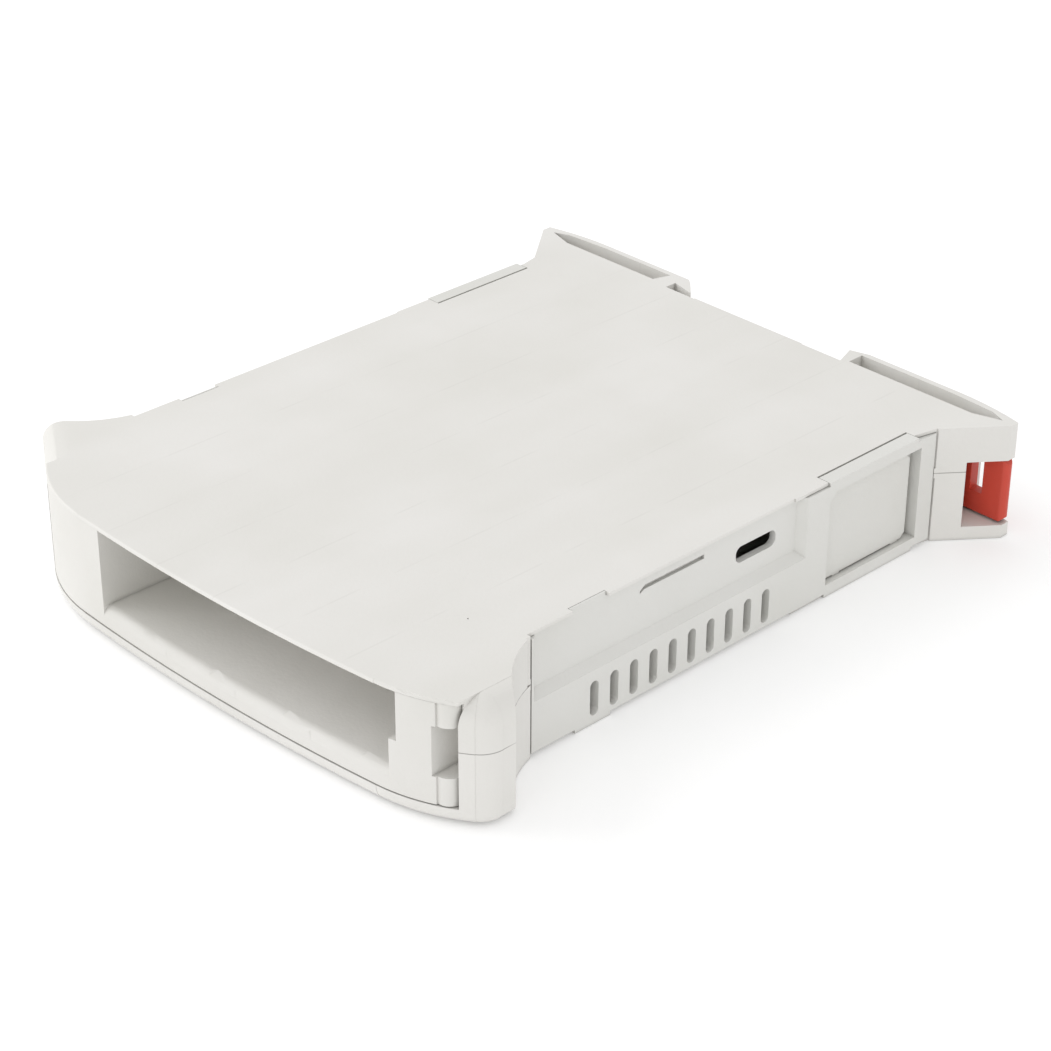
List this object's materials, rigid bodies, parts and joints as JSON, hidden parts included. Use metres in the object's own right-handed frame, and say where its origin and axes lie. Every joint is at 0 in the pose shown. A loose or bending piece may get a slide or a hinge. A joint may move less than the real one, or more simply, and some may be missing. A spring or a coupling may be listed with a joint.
{
  "type": "din rail enclosure",
  "caption": "Slim module housing that clips onto a top-hat rail, with a curved hinged front, vented side panels and a sliding foot latch.",
  "frame": {"origin": "middle of the base, on the side wall that the enclosure lies on", "axes": "+X towards the latch side, +Y from the front to the rail side, +Z across the module's width"},
  "size_m": [0.1207, 0.1408, 0.0225],
  "materials": {
    "shell_plastic": "fine moulded texture, light grey",
    "front_plastic": "fine moulded texture, light grey",
    "panel_plastic": "fine moulded texture, light grey",
    "cover_plastic": "fine moulded texture, light grey",
    "latch_plastic": "smooth red",
    "spring_steel": "drawn wire"
  },
  "bodies": {
    "housing": {"top_shell": "shell_plastic", "bottom_shell": "shell_plastic", "near_panel": "panel_plastic", "far_panel": "panel_plastic", "near_blank_cover": "cover_plastic", "far_blank_cover": "cover_plastic", "latch_spring": "spring_steel"},
    "front": {"front_frame": "front_plastic"},
    "latch": {"rail_latch": "latch_plastic"}
  },
  "joints": [
    {"name": "front_hinge", "type": "hinge", "parent": "housing", "child": "front", "pos_m": [0.0532, -0.06135, 0.0125], "axis": [0, 0, 1], "range_deg": [0, 75]},
    {"name": "latch_slide", "type": "slide", "parent": "housing", "child": "latch", "axis": [1, 0, 0], "range_m": [0, 0.005], "stiffness_N_per_m": 1500, "springref_m": -0.004, "deforming": ["latch_spring"]}
  ]
}
